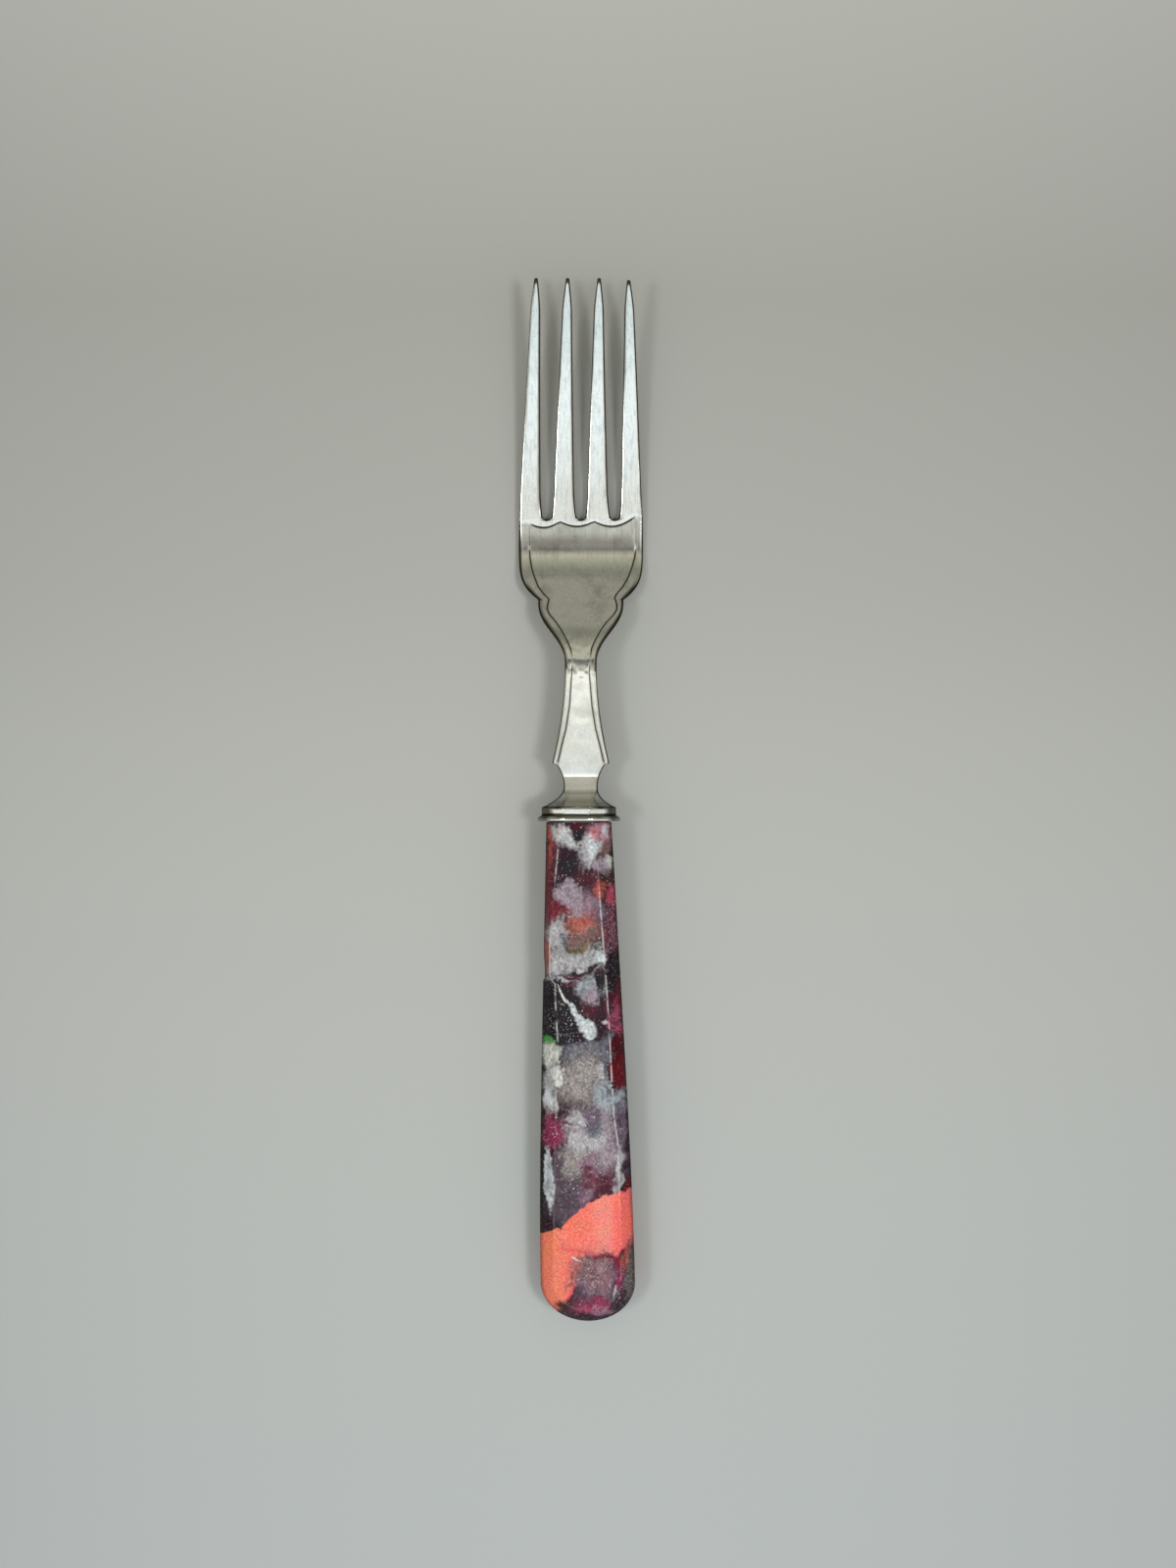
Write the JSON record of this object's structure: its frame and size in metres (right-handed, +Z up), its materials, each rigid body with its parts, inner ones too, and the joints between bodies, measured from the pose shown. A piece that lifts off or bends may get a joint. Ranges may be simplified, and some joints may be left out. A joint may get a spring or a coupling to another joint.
{
  "type": "table fork",
  "caption": "Table fork with slender pointed tines, a waisted forged head with engraved thread lines, and a flared facetted handle of marbled recycled plastic.",
  "frame": {"origin": "on the table plane, under the middle of the box round the fork", "axes": "+Y along the fork to the tips of the tines, +Z up out of the concave face, +X to the right as seen from above"},
  "size_m": [0.0244, 0.201, 0.0146],
  "materials": {
    "metal": "satin, worn",
    "handle": "marbled, polished, with worn facet edges",
    "adhesive": "dark set adhesive"
  },
  "bodies": {
    "root": {"head": "metal", "collar": "metal", "handle": "handle", "adhesive": "adhesive"}
  },
  "joints": []
}
